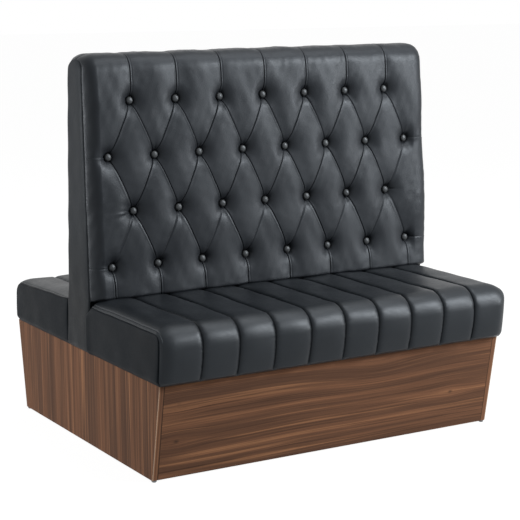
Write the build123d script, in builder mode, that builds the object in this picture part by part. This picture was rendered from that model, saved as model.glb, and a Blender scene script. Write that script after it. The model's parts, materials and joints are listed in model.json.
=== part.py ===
from build123d import *
from math import atan2, cos, radians, sin, sqrt, tan
import os

os.makedirs("parts", exist_ok=True)

# Double-sided restaurant booth: two seats back to back on one walnut-faced base.
# Millimetres, +Z up. The origin is on the floor under the middle of the booth.
# +X runs along the booth and the front seat faces -Y. The rear side mirrors the front one.

# Overall sizes
booth_length = 1200
base_depth_top = 1010
base_depth_bottom = 910
base_height = 287
glide_height = 6
seat_seam_top = 458
back_height = 1193

# Small sizes that all pieces share
overrun = 5
flat_gap = 0.3
hole_gap = 0.1

# Base boards and rails
board = 18
edge_band = 1
spine_half_depth = 145
spacer_width = 45
spacer_height = 90
ledger_depth = 30
ledger_height = 40
cleat = 25
glide_radius = 7.5
glide_rim = 2
glide_inset = 7
nail_radius = 1.4
nail_length = 16

# Screws and bolts
screw_radius = 2.2
screw_head_radius = 4.5
screw_head = 2.5
screw_end_cover = 7
bolt_radius = 4
bolt_head_radius = 7.5
bolt_head = 5.3
washer_radius = 10
washer = 1.6
bolt_end = 3

# Backrest frame
back_plate = 30
rail_height = 45
back_board = 9
foam_sheet = 20
edge_foam = 6
end_cover = 4
seam_half_top = 46
seam_lean = radians(2.4)
lower_cover_skin = 2.3
padding_gap = 3
padding_tuck = 35

# Tufted covers
valley_half_top = 56
valley_lean = radians(2.8)
top_radius = 33
top_crown = 20
row_crown = 28
corner_radius = 45
row_end_room = 40
button_pitch = 154
button_row_pitch = 165
top_row_drop = 91
foot_row_room = 60
pillow_step = 2
end_margin = 6
pillow_sink = 1
button_radius = 11
button_edge = 2
button_height = 7
pocket_gap = 1.5
pocket_flare = 10

# Seat cushions
channels = 10
seat_gap = 2
seat_overhang = 32
foot_overhang = 1
roll_radius = 58
front_bulge = 6
channel_crown = 7
end_drop = 10
boxing = 4
sewn_foam = 12
cover_back_wall = 6
core_roll = 40
deck = 18

# Shares chosen by eye: how far in and how high each ring of a pillow lies,
# how high a channel stands across its width, and where rails stand up the backrest
pillow_shares = ((0.975, 0), (0.86, 0.58), (0.55, 0.9), (0.2, 1))
channel_shares = ((0, 0), (0.1, 0.5), (0.3, 0.9), (0.5, 1), (0.7, 0.9), (0.9, 0.5), (1, 0))
end_drop_share = 0.4
rail_shares = (0.22, 0.53)
bolt_share = 0.4
screw_shares = (-0.42, -0.22, 0.06, 0.24, 0.42)
spacer_share = 0.5

# Places worked out from the sizes above
half_length = booth_length / 2
inside_end = half_length - board
base_bottom = glide_height
base_top = glide_height + base_height
base_rake = atan2((base_depth_top - base_depth_bottom) / 2, base_height)
slanted_board = board / cos(base_rake)
slanted_band = edge_band / cos(base_rake)
ledger_bottom = base_top - ledger_height
spine_inner = spine_half_depth - board
cover_end = half_length - end_cover
frame_end = cover_end - board
arc_z = back_height - top_crown - top_radius
arc_y = -(valley_half_top - top_radius)
valley_y = arc_y - top_radius * cos(valley_lean)
valley_z = arc_z + top_radius * sin(valley_lean)
back_inside_top = arc_z + edge_foam
padding_foot = seat_seam_top + channel_crown + padding_gap
padding_back_foot = padding_foot - padding_tuck
seat_seam_front = base_depth_top / 2 + seat_overhang
seat_foot = base_depth_top / 2 + foot_overhang


def base_half(z):
    """Half the depth of the base at height z."""
    share = (z - base_bottom) / base_height
    return (base_depth_bottom + (base_depth_top - base_depth_bottom) * share) / 2


def panel_inside(z):
    """How far from the middle the inner face of a raked panel lies at height z."""
    return base_half(z) - slanted_board


rail_line = panel_inside(ledger_bottom) - ledger_depth


def seam_half(z):
    """Half the width of the flat end covers at height z."""
    return seam_half_top + (back_inside_top - z) * tan(seam_lean)


def board_half(z):
    """How far from the middle the outer face of a backrest board lies."""
    return seam_half(z) - foam_sheet


def frame_half(z):
    """Half the width of the backrest frame at height z."""
    return board_half(z) - back_board


def valley_half(z):
    """How far from the middle the pleats of a tufted cover lie."""
    return -valley_y + (valley_z - z) * tan(valley_lean)


lower_half = board_half(base_top) + lower_cover_skin
seat_back = lower_half + seat_gap


def keep(piece, label):
    """Name a finished piece and write it."""
    piece.part.label = label
    export_step(piece.part, "parts/" + label + ".step")


def keep_both_sides(piece, label):
    """Write a front piece, and its mirror image on the rear side."""
    keep(piece, "front_" + label)
    with BuildPart() as rear:
        mirror(piece.part, about=Plane.XZ)
    keep(rear, "rear_" + label)


def add_board(outline, start, end):
    """Add a board with this outline across Y and Z, from start to end along X."""
    with BuildSketch(Plane.YZ.offset(start)) as section:
        with BuildLine():
            Polyline(*outline, close=True)
        make_face()
    extrude(section.sketch, amount=end - start)


def between(outer, inner, low, high):
    """The outline of a front piece between two faces, which are functions of height."""
    return [(-outer(low), low), (-inner(low), low), (-inner(high), high), (-outer(high), high)]


def across(half, low, high):
    """An outline that is centred across the booth, with its half width given by height."""
    return [(-half(low), low), (half(low), low), (half(high), high), (-half(high), high)]


# Side panels, with a pilot hole for each glide nail

glide_line = base_half(base_bottom) - glide_inset
glide_spots = [
    (x, y, base_bottom)
    for x in (-half_length + board / 2, half_length - board / 2)
    for y in (-glide_line, glide_line)
]


def make_side_panel(start, label):
    with BuildPart() as side_panel:
        add_board(across(lambda z: base_half(z) - slanted_band, base_bottom, base_top), start, start + board)
        with Locations(*glide_spots):
            Cylinder(
                nail_radius + hole_gap,
                nail_length + hole_gap,
                align=(Align.CENTER, Align.CENTER, Align.MIN),
                mode=Mode.SUBTRACT,
            )
    keep(side_panel, label)


make_side_panel(-half_length, "left_side_panel")
make_side_panel(inside_end, "right_side_panel")

# Edge bands on the raked edges of the side panels
with BuildPart() as edge_bands:
    for start in (-half_length, inside_end):
        add_board(
            between(base_half, lambda z: base_half(z) - slanted_band, base_bottom, base_top),
            start,
            start + board,
        )
    mirror(about=Plane.XZ)
keep(edge_bands, "side_panel_edge_bands")

# Nail-on glides, one under each end of each side panel
with BuildPart() as glide:
    with BuildSketch(Plane.XZ):
        with BuildLine():
            Polyline(
                (0, nail_length + glide_height),
                (nail_radius, nail_length + glide_height),
                (nail_radius, glide_height),
                (glide_radius, glide_height),
                (glide_radius, glide_rim),
                (glide_radius - glide_rim, 0),
                (0, 0),
                close=True,
            )
        make_face()
    revolve(axis=Axis.Z)

with BuildPart() as glides:
    with Locations(*[(x, y) for x, y, z in glide_spots]):
        add(glide.part)
keep(glides, "nail_on_glides")

# Raked front and rear panels, and the seat ledgers screwed to them

screw_spots = [(booth_length * share, base_top - ledger_height / 2) for share in screw_shares]
screw_length = panel_inside(screw_spots[0][1]) + slanted_board - screw_end_cover - rail_line


def drill_screw_holes():
    with BuildSketch(Plane.XZ.offset(rail_line - overrun)) as holes:
        with Locations(*screw_spots):
            Circle(screw_radius + hole_gap)
    extrude(holes.sketch, amount=screw_length + overrun + hole_gap, mode=Mode.SUBTRACT)


with BuildPart() as raked_panel:
    add_board(between(base_half, panel_inside, base_bottom, base_top), -inside_end, inside_end)
    drill_screw_holes()
keep_both_sides(raked_panel, "panel")

with BuildPart() as ledger:
    add_board(between(panel_inside, lambda z: rail_line, ledger_bottom, base_top), -inside_end, inside_end)
    drill_screw_holes()
keep_both_sides(ledger, "seat_ledger")

with BuildPart() as ledger_screws:
    with BuildSketch(Plane.XZ.offset(rail_line)):
        with Locations(*screw_spots):
            Circle(screw_radius)
    extrude(amount=screw_length)
    with BuildSketch(Plane.XZ.offset(rail_line - screw_head)):
        with Locations(*screw_spots):
            Circle(screw_head_radius)
    extrude(amount=screw_head)
keep_both_sides(ledger_screws, "ledger_screws")

# Ledgers along the side panels, and cleats in the four corners
with BuildPart() as end_ledgers:
    add_board(
        between(lambda z: rail_line, lambda z: spine_half_depth, ledger_bottom, base_top),
        -inside_end,
        -inside_end + cleat,
    )
    mirror(about=Plane.XZ)
    mirror(about=Plane.YZ)
keep(end_ledgers, "end_ledgers")

with BuildPart() as corner_cleats:
    add_board(
        between(panel_inside, lambda z: panel_inside(z) - cleat, base_bottom, ledger_bottom),
        -inside_end,
        -inside_end + cleat,
    )
    mirror(about=Plane.XZ)
    mirror(about=Plane.YZ)
keep(corner_cleats, "corner_cleats")

# Spine under the backrest: two long boards, the board on top of them and spacers between them

bolt_shares = (-bolt_share, -bolt_share / 2, bolt_share / 2, bolt_share)
bolt_spots = [(booth_length * share, 0) for share in bolt_shares]

with BuildPart() as spine_board:
    add_board(
        between(lambda z: spine_half_depth, lambda z: spine_inner, base_bottom, base_top - board),
        -inside_end,
        inside_end,
    )
keep_both_sides(spine_board, "spine_board")

with BuildPart() as spine_top_board:
    add_board(across(lambda z: spine_half_depth, base_top - board, base_top), -inside_end, inside_end)
    with Locations(*[(x, y, base_top) for x, y in bolt_spots]):
        Hole(bolt_radius + hole_gap, board)
keep(spine_top_board, "spine_top_board")

with BuildPart() as spine_spacers:
    for middle in (-half_length * spacer_share, 0, half_length * spacer_share):
        add_board(
            across(lambda z: spine_inner, base_top - board - spacer_height, base_top - board),
            middle - spacer_width / 2,
            middle + spacer_width / 2,
        )
keep(spine_spacers, "spine_spacers")

# Ribs that carry the middle of each seat, notched round the ledger
with BuildPart() as center_rib:
    add_board(
        [
            (-panel_inside(base_bottom), base_bottom),
            (-spine_half_depth, base_bottom),
            (-spine_half_depth, base_top),
            (-rail_line, base_top),
            (-rail_line, ledger_bottom),
            (-panel_inside(ledger_bottom), ledger_bottom),
        ],
        -board / 2,
        board / 2,
    )
keep_both_sides(center_rib, "center_rib")

# Backrest frame: end frames, bottom plate, rails and struts

frame_top = arc_z
plate_top = base_top + back_plate
rail_bottoms = [base_top + (frame_top - base_top) * share for share in rail_shares]


def make_end_frame(start, label):
    with BuildPart() as end_frame:
        add_board(across(frame_half, base_top, frame_top), start, start + board)
    keep(end_frame, label)


make_end_frame(-cover_end, "left_back_end_frame")
make_end_frame(frame_end, "right_back_end_frame")

with BuildPart() as bottom_plate:
    add_board(across(frame_half, base_top, plate_top), -frame_end, frame_end)
    with Locations(*[(x, y, plate_top) for x, y in bolt_spots]):
        Hole(bolt_radius + hole_gap, back_plate)
keep(bottom_plate, "back_bottom_plate")

with BuildPart() as lower_rail:
    add_board(across(frame_half, rail_bottoms[0], rail_bottoms[0] + rail_height), -frame_end, frame_end)
keep(lower_rail, "back_lower_rail")

with BuildPart() as middle_rail:
    add_board(across(frame_half, rail_bottoms[1], rail_bottoms[1] + rail_height), -frame_end, frame_end)
keep(middle_rail, "back_middle_rail")

with BuildPart() as top_rail:
    add_board(across(frame_half, frame_top - rail_height, frame_top), -frame_end, frame_end)
keep(top_rail, "back_top_rail")

strut_floors = [plate_top, rail_bottoms[0] + rail_height, rail_bottoms[1] + rail_height]
strut_ceilings = [rail_bottoms[0], rail_bottoms[1], frame_top - rail_height]
with BuildPart() as center_struts:
    for low, high in zip(strut_floors, strut_ceilings):
        add_board(across(frame_half, low, high), -board / 2, board / 2)
keep(center_struts, "back_center_struts")

# Bolts up through the spine and the bottom plate, with washers and nuts on top
with BuildPart() as bolts:
    with BuildSketch(Plane.XY.offset(base_top - board - bolt_head)):
        with Locations(*bolt_spots):
            RegularPolygon(bolt_head_radius, 6)
    extrude(amount=bolt_head)
    with BuildSketch(Plane.XY.offset(base_top - board)):
        with Locations(*bolt_spots):
            Circle(bolt_radius)
    extrude(amount=board + back_plate + washer + bolt_head + bolt_end)
keep(bolts, "back_fixing_bolts")

with BuildPart() as washers:
    with BuildSketch(Plane.XY.offset(plate_top)):
        with Locations(*bolt_spots):
            Circle(washer_radius)
            Circle(bolt_radius + hole_gap, mode=Mode.SUBTRACT)
    extrude(amount=washer)
keep(washers, "back_bolt_washers")

with BuildPart() as nuts:
    with BuildSketch(Plane.XY.offset(plate_top + washer)):
        with Locations(*bolt_spots):
            RegularPolygon(bolt_head_radius, 6)
            Circle(bolt_radius + hole_gap, mode=Mode.SUBTRACT)
    extrude(amount=bolt_head)
keep(nuts, "back_bolt_nuts")

# Backrest boards, foam sheets and flat end covers
with BuildPart() as backing_board:
    add_board(between(board_half, frame_half, base_top, frame_top), -cover_end, cover_end)
keep_both_sides(backing_board, "back_board")

with BuildPart() as back_foam:
    add_board(
        [
            (-board_half(padding_back_foot), padding_back_foot),
            (-lower_half, padding_back_foot),
            (-seam_half(padding_foot), padding_foot),
            (-seam_half(back_inside_top), back_inside_top),
            (-board_half(back_inside_top), back_inside_top),
        ],
        -cover_end,
        cover_end,
    )
keep_both_sides(back_foam, "back_foam")

with BuildPart() as lower_cover:
    add_board(between(lambda z: lower_half, board_half, base_top, padding_back_foot), -cover_end, cover_end)
keep_both_sides(lower_cover, "back_lower_cover")

with BuildPart() as top_foam:
    add_board(across(board_half, frame_top, back_inside_top), -cover_end, cover_end)
keep(top_foam, "back_top_foam")


def make_end_cover(start, label):
    with BuildPart() as flat_cover:
        add_board(
            [
                (0, base_top),
                (-lower_half, base_top),
                (-lower_half, padding_back_foot),
                (-seam_half(padding_foot), padding_foot),
                (-seam_half(back_inside_top), back_inside_top),
                (0, back_inside_top),
            ],
            start,
            start + end_cover,
        )
        mirror(about=Plane.XZ)
    keep(flat_cover, label)


make_end_cover(-half_length, "left_back_end_cover")
make_end_cover(cover_end, "right_back_end_cover")

# Places of the buttons on the leaning plane of the pleats: across, and up from its top edge

valley_plane = Plane(
    origin=(0, valley_y, valley_z),
    x_dir=(1, 0, 0),
    z_dir=(0, -cos(valley_lean), sin(valley_lean)),
)
rows = int((valley_z - padding_foot - top_row_drop - foot_row_room) / button_row_pitch) + 1
columns = int((booth_length - 2 * row_end_room) / button_pitch) + 1
row_ups = [-(top_row_drop + button_row_pitch * row) for row in range(rows)]
long_row = [button_pitch * (column - (columns - 1) / 2) for column in range(columns)]
short_row = [x + button_pitch / 2 for x in long_row[:-1]]
button_rows = [long_row if row % 2 else short_row for row in range(rows)]
button_spots = [(x, up) for xs, up in zip(button_rows, row_ups) for x in xs]
foot_up = (padding_foot + pillow_step - valley_z) / cos(valley_lean)
pillow_end = half_length - end_margin


def diamond(x, row):
    """The pillow round a point of a row: a button above it, one below it and one each side."""
    half = button_pitch / 2
    ups = (row_ups[row - 1], row_ups[row], row_ups[row + 1])
    return [(x, ups[0]), (x + half, ups[1]), (x, ups[2]), (x - half, ups[1])]


def mirrored(outline):
    return [(-x, up) for x, up in outline]


def cell_middle(outline):
    xs = [x for x, up in outline]
    ups = [up for x, up in outline]
    return (min(xs) + max(xs)) / 2, (min(ups) + max(ups)) / 2


# Pillows that end in the pleats all round: diamonds, and the half diamonds at the ends of short rows
closed_cells = []
for row in range(1, rows - 1):
    closed_cells += [diamond(x, row) for x in (short_row if row % 2 else long_row[1:-1])]
    if not row % 2:
        side_cell = [
            (-pillow_end, row_ups[row - 1]),
            (long_row[0], row_ups[row - 1]),
            (short_row[0], row_ups[row]),
            (long_row[0], row_ups[row + 1]),
            (-pillow_end, row_ups[row + 1]),
        ]
        closed_cells += [side_cell, mirrored(side_cell)]

# Pillows between the lowest row and the seat
last_row = button_rows[-1]
for left, middle, right in zip(last_row, short_row if last_row == long_row else long_row[1:-1], last_row[1:]):
    closed_cells.append(
        [(left, row_ups[-1]), (middle, row_ups[-2]), (right, row_ups[-1]), (right, foot_up), (left, foot_up)]
    )
foot_cell = [(last_row[0], row_ups[-1]), (last_row[0], foot_up), (-pillow_end, foot_up)]
if last_row == long_row:
    foot_cell += [(-pillow_end, row_ups[-1])]
else:
    foot_cell += [(-pillow_end, row_ups[-2]), (long_row[0], row_ups[-2])]
closed_cells += [foot_cell, mirrored(foot_cell)]

# Pillows that run on over the top edge
left_top_cell = [
    (-pillow_end, row_ups[1]),
    (long_row[0], row_ups[1]),
    (short_row[0], row_ups[0]),
    (short_row[0], 0),
    (-pillow_end, 0),
]
top_cells = [left_top_cell, mirrored(left_top_cell)]
for left, middle, right in zip(short_row, long_row[1:], short_row[1:]):
    top_cells.append([(left, row_ups[0]), (middle, row_ups[1]), (right, row_ups[0]), (right, 0), (left, 0)])


def add_pillow(outline, middle, crown):
    """Loft one pillow from its pleats up to its crown, drawn in towards its middle."""
    rings = []
    for size_share, height_share in pillow_shares:
        height = crown * height_share if height_share else -pillow_sink
        with BuildSketch(valley_plane.offset(height)) as ring:
            with BuildLine():
                Polyline(
                    *[
                        (middle[0] + (x - middle[0]) * size_share, middle[1] + (up - middle[1]) * size_share)
                        for x, up in outline
                    ],
                    close=True,
                )
            make_face()
        rings.append(ring.sketch)
    loft(rings, ruled=True)


def wrap_section(plane, left, right):
    """The section of a top pillow, with its height measured from the centre of the top arc."""
    middle = (left + right) / 2
    half = (right - left) / 2
    rise = [
        (half * size_share, top_radius + (top_crown * height_share if height_share else -pillow_sink))
        for size_share, height_share in pillow_shares
    ]
    with BuildSketch(plane) as section:
        with BuildLine():
            Polyline(
                *[(middle - out, up) for out, up in rise],
                *[(middle + out, up) for out, up in reversed(rise)],
                close=True,
            )
        make_face()
    return section.sketch


def add_wrap(left, right):
    """Carry a top pillow round the top edge and on to the seam along the middle."""
    arc_centre = (0, arc_y, arc_z)
    arc_start = Plane(origin=arc_centre, x_dir=(1, 0, 0), z_dir=(0, -sin(valley_lean), -cos(valley_lean)))
    arc_end = Plane(origin=arc_centre, x_dir=(1, 0, 0), z_dir=(0, -1, 0))
    revolve(
        wrap_section(arc_start, left, right),
        axis=Axis(arc_centre, (-1, 0, 0)),
        revolution_arc=90 * (1 - valley_lean / radians(90)),
    )
    extrude(wrap_section(arc_end, left, right), amount=arc_y)


def add_cover_sheet():
    """The sewn foam under the pleats, from behind the seat to the seam along the top."""
    arc_share = (valley_lean + radians(90)) / 2
    with BuildSketch(Plane.YZ.offset(-half_length)) as section:
        with BuildLine():
            Polyline(
                (0, arc_z + top_radius),
                (0, back_inside_top),
                (-seam_half(back_inside_top), back_inside_top),
                (-seam_half(padding_foot), padding_foot),
                (-lower_half, padding_back_foot),
                (-valley_half(padding_foot), padding_foot),
                (valley_y, valley_z),
            )
            ThreePointArc(
                (valley_y, valley_z),
                (arc_y - top_radius * cos(arc_share), arc_z + top_radius * sin(arc_share)),
                (arc_y, arc_z + top_radius),
            )
            Line((arc_y, arc_z + top_radius), (0, arc_z + top_radius))
        make_face()
    extrude(section.sketch, amount=booth_length)


with BuildPart() as tufted_cover:
    add_cover_sheet()
    for cell in closed_cells:
        add_pillow(cell, cell_middle(cell), row_crown)
    for cell in top_cells:
        xs = [x for x, up in cell]
        add_pillow(cell, (cell_middle(cell)[0], 0), top_crown)
        add_wrap(min(xs), max(xs))
    with Locations(*[valley_plane.location * Location((x, up, 0)) for x, up in button_spots]):
        Cone(
            button_radius + pocket_gap,
            button_radius + pocket_gap + pocket_flare,
            row_crown + overrun,
            align=(Align.CENTER, Align.CENTER, Align.MIN),
            mode=Mode.SUBTRACT,
        )
    with BuildSketch(Plane.XZ) as outline:
        with Locations((0, (base_top + back_height) / 2)):
            Rectangle(booth_length, back_height - base_top)
        fillet(outline.vertices().group_by(Axis.Z)[-1], corner_radius)
    extrude(amount=spine_half_depth, mode=Mode.INTERSECT)
keep_both_sides(tufted_cover, "tufted_cover")

# Covered buttons, each sitting in its pocket on the pleats

button_rise = button_height - button_edge
dome_radius = (button_radius**2 + button_rise**2) / (2 * button_rise)

with BuildPart() as button:
    with BuildSketch(Plane.XZ):
        with BuildLine():
            Polyline((0, button_height), (0, 0), (button_radius, 0), (button_radius, button_edge))
            RadiusArc((button_radius, button_edge), (0, button_height), -dome_radius)
        make_face()
    revolve(axis=Axis.Z)

with BuildPart() as buttons:
    with Locations(*[valley_plane.location * Location((x, up, 0)) for x, up in button_spots]):
        add(button.part)
keep_both_sides(buttons, "buttons")

# Seat cushions. Each lies loose on the base, with its back edge under the padding, and pulls out forwards.

seat_bottom = base_top + flat_gap
core_back = seat_back + cover_back_wall
core_top = seat_seam_top - end_drop - sewn_foam
core_front = seat_seam_front - end_drop - sewn_foam
core_foot = seat_foot - sewn_foam
channel_start = -half_length + boxing
channel_width = (booth_length - 2 * boxing) / channels


def seat_section(x, swell):
    """The section of a seat cushion at x, swollen past its sewn line."""
    top = seat_seam_top + swell
    front = seat_seam_front + swell
    diagonal = roll_radius * sqrt(1 / 2)
    back_y = -(seat_back + roll_radius)
    roll_y = -(front - roll_radius)
    roll_z = top - roll_radius
    with BuildSketch(Plane.YZ.offset(x)) as section:
        with BuildLine():
            Polyline((-seat_foot, seat_bottom), (-seat_back, seat_bottom), (-seat_back, roll_z))
            ThreePointArc((-seat_back, roll_z), (back_y + diagonal, roll_z + diagonal), (back_y, top))
            Line((back_y, top), (roll_y, top))
            ThreePointArc((roll_y, top), (roll_y - diagonal, roll_z + diagonal), (-front, roll_z))
            ThreePointArc(
                (-front, roll_z),
                (-(front + seat_foot) / 2 - front_bulge, (roll_z + seat_bottom) / 2),
                (-seat_foot, seat_bottom),
            )
        make_face()
    return section.sketch


def channel_swell(channel, share):
    """How far a channel stands out past its seams; the end channels drop to the end seam."""
    crown = channel_crown * dict(channel_shares)[share]
    from_end = share if channel == 0 else 1 - share if channel == channels - 1 else 1
    return crown - end_drop * max(0, 1 - from_end / end_drop_share)


def core_section(x, inset, low):
    """The space inside a cover at x, drawn in by an inset, from low upwards."""
    front = core_front - inset
    top = core_top - inset
    roll = core_roll - inset
    diagonal = roll * sqrt(1 / 2)
    back = -core_back - inset
    back_y = back - roll
    roll_y = -(front - roll)
    roll_z = top - roll
    with BuildSketch(Plane.YZ.offset(x)) as section:
        with BuildLine():
            Polyline((-front, roll_z), (inset - core_foot, low), (back, low), (back, roll_z))
            ThreePointArc((back, roll_z), (back_y + diagonal, roll_z + diagonal), (back_y, top))
            Line((back_y, top), (roll_y, top))
            ThreePointArc((roll_y, top), (roll_y - diagonal, roll_z + diagonal), (-front, roll_z))
        make_face()
    return section.sketch


with BuildPart() as channel_cover:
    for channel in range(channels):
        sections = [
            seat_section(channel_start + channel_width * (channel + share), channel_swell(channel, share))
            for share, crown_share in channel_shares
        ]
        loft(sections, ruled=True)
    extrude(
        core_section(channel_start - overrun, 0, seat_bottom - overrun),
        amount=booth_length + overrun,
        mode=Mode.SUBTRACT,
    )
keep_both_sides(channel_cover, "seat_channel_cover")

with BuildPart() as seat_foam:
    extrude(core_section(channel_start, flat_gap, seat_bottom + deck), amount=booth_length - 2 * boxing)
keep_both_sides(seat_foam, "seat_foam")

with BuildPart() as seat_deck:
    add_board(
        between(
            lambda z: core_foot - flat_gap,
            lambda z: core_back + flat_gap,
            seat_bottom,
            seat_bottom + deck,
        ),
        channel_start,
        -channel_start,
    )
keep_both_sides(seat_deck, "seat_deck")


def make_boxing(start, label):
    with BuildPart() as end_boxing:
        extrude(seat_section(start, -end_drop), amount=boxing)
    keep_both_sides(end_boxing, label)


make_boxing(-half_length, "seat_left_boxing")
make_boxing(half_length - boxing, "seat_right_boxing")
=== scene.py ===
import json
import math

import bpy
import numpy as np
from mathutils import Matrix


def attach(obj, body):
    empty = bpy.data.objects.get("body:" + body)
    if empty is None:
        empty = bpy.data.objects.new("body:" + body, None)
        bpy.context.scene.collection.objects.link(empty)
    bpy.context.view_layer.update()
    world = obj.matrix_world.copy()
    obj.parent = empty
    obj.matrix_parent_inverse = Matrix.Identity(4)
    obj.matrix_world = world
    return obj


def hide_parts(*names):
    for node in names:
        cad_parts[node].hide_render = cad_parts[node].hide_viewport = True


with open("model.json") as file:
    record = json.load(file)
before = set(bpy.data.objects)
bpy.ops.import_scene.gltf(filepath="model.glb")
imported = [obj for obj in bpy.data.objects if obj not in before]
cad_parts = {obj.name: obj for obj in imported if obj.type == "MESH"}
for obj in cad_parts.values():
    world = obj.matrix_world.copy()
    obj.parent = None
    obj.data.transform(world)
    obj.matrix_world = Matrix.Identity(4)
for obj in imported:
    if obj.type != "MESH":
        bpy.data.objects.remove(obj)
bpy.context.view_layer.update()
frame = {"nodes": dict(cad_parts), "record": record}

# Sizes in metres, the same as the part's
half_length = 0.6
base_top = 0.293
lean = math.radians(2.8)
top_radius = 0.033
arc_y, arc_z = -0.023, 1.140
valley_y = arc_y - top_radius * math.cos(lean)
valley_z = arc_z + top_radius * math.sin(lean)
crest_up = top_radius * (math.pi / 2 - lean) - arc_y
seam_lean = math.radians(2.4)
seam_half_top, seam_top = 0.046, 1.146
arch_rise = 0.031
pitch, row_pitch, first_row = 0.154, 0.165, 0.091
low_half, low_top = 0.0648, 0.425
channels = 10

# Sizes of the soft forms as they are seen: rims at the ends, roll and tuck at the foot, where pieces end
rim_start, rim_length = 0.570, 0.045
roll_z, roll_length = 0.4695, 0.03
tuck_y, tuck_z = 0.0768, 0.4575
left_reach, right_reach = 0.6070, 0.6100
left_strip_x, right_strip_x = 0.6070, 0.6055
cushion_reach = 0.6080
foot_cover_half = 0.6035
foot_gap = 0.0005
foot_up = (roll_z - valley_z) / math.cos(lean)

# Places of the buttons, across and up the leaning plane
row_ups = [-(first_row + row_pitch * row) for row in range(4)]
long_row = [pitch * (column - 3.5) for column in range(8)]
short_row = [pitch * (column - 3) for column in range(7)]
button_spots = [(x, row_ups[row]) for row in range(4) for x in (long_row if row % 2 else short_row)]


# Materials


class Nodes:
    """A material's node tree, with short calls for the nodes used here."""

    def __init__(self, name, specular=None, **values):
        self.material = bpy.data.materials.new(name)
        self.material.use_nodes = True
        self.tree = self.material.node_tree
        self.shader = self.tree.nodes["Principled BSDF"]
        if specular is not None:
            self.shader.inputs["Specular IOR Level"].default_value = specular
        for socket, value in values.items():
            self.shader.inputs[socket].default_value = value

    def put(self, value, socket):
        if isinstance(value, bpy.types.NodeSocket):
            self.tree.links.new(value, socket)
        else:
            socket.default_value = value

    def add(self, kind, inputs=(), output=0, **settings):
        node = self.tree.nodes.new("ShaderNode" + kind)
        for key, value in settings.items():
            setattr(node, key, value)
        for key, value in dict(inputs).items():
            self.put(value, node.inputs[key])
        return node.outputs[output]

    def math(self, operation, *values):
        return self.add("Math", enumerate(values), operation=operation)

    def times(self, first, second):
        return self.math("MULTIPLY", first, second)

    def place(self):
        return self.add("TexCoord", output="Object")

    def axes(self, place):
        node = self.tree.nodes.new("ShaderNodeSeparateXYZ")
        self.put(place, node.inputs[0])
        return node.outputs

    def join(self, x, y, z):
        return self.add("CombineXYZ", enumerate((x, y, z)))

    def noise(self, place, scale, detail=2.0, roughness=0.5, distortion=0.0):
        inputs = {"Vector": place, "Scale": scale, "Detail": detail}
        return self.add("TexNoise", inputs | {"Roughness": roughness, "Distortion": distortion})

    def span(self, value, low, high, to_low=0.0, to_high=1.0, smooth=True):
        return self.add(
            "MapRange",
            {"Value": value, "From Min": low, "From Max": high, "To Min": to_low, "To Max": to_high},
            interpolation_type="SMOOTHSTEP" if smooth else "LINEAR",
        )

    def blend(self, share, first, second):
        node = self.tree.nodes.new("ShaderNodeMix")
        node.data_type = "RGBA"
        for key, value in ((0, share), (6, first), (7, second)):
            self.put((*value, 1) if isinstance(value, tuple) else value, node.inputs[key])
        return node.outputs[2]

    def bump(self, height, distance, strength=1.0, normal=None):
        inputs = {"Height": height, "Distance": distance, "Strength": strength}
        if normal is not None:
            inputs["Normal"] = normal
        return self.add("Bump", inputs)

    def finish(self, colour, roughness, normal):
        for socket, value in (("Base Color", colour), ("Roughness", roughness), ("Normal", normal)):
            self.put(value, self.shader.inputs[socket])
        return self.material


def scaled(colour, factor):
    return tuple(factor * part for part in colour)


def make_vinyl(name, dark, light, roughness, specular, painted_shade=None):
    """Upholstery vinyl: fine pebble grain, faint creases and slow changes of tone and gloss.

    Its last argument, when given, is a low and a high height and a share: painted shade that darkens the
    colour towards the low height.
    """
    n = Nodes(name, specular)
    n.shader.inputs["Specular Tint"].default_value = (0.84, 0.92, 1.0, 1)
    place = n.place()
    cloud = n.noise(place, 7.0, 3.0, 0.55)
    mottle = n.noise(place, 95.0, 4.0, 0.6)
    pebble = n.add("TexVoronoi", {"Vector": place, "Scale": 620.0}, feature="DISTANCE_TO_EDGE")
    pore = n.noise(place, 1500.0, 2.0, 0.6)
    crease = n.noise(place, 34.0, 5.0, 0.62, 0.7)
    colour = n.blend(n.span(cloud, 0.3, 0.7), dark, light)
    colour = n.blend(n.span(mottle, 0.35, 0.75, 0.0, 0.35), colour, light)
    # painted shade: the colour darkens to near black towards the low height
    if painted_shade is not None:
        colour = n.blend(n.span(n.axes(place)[2], *painted_shade, 0.0), colour, (0.001, 0.001, 0.0012))
    rough = n.math("ADD", n.span(cloud, 0.3, 0.7, *roughness), n.span(mottle, 0.3, 0.7, -0.03, 0.03))
    normal = n.bump(n.span(pebble, 0.0, 0.25), 0.00010, 0.4)
    normal = n.bump(pore, 0.00005, 0.4, normal)
    normal = n.bump(crease, 0.0006, 0.3, normal)
    return n.finish(colour, rough, normal)


def bell(n, along, reach_along, across, reach_across):
    """A bell, 1 at no distance, from the distances each way and how far it reaches."""
    square_along = n.math("POWER", n.math("DIVIDE", along, reach_along), 2.0)
    square_across = n.math("POWER", n.math("DIVIDE", across, reach_across), 2.0)
    return n.math("POWER", math.e, n.times(n.math("ADD", square_along, square_across), -1.0))


def part_round_knots(n, along, flow, across, knots, seed):
    """The grain's flow, pushed aside by each knot, and the knots' dark spots."""
    spots = None
    for knot_along, knot_across, size, strength, darkness in knots:
        off_along = n.math("SUBTRACT", along, knot_along + seed)
        off_across = n.math("SUBTRACT", across, knot_across)
        near = bell(n, off_along, size * 7, off_across, size * 2.6)
        flow = n.math("ADD", flow, n.times(n.times(off_across, near), -strength))
        if darkness:
            spot = n.times(bell(n, off_along, size * 0.8, off_across, size * 0.5), darkness)
            spots = spot if spots is None else n.math("ADD", spots, spot)
    return flow, spots


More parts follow.
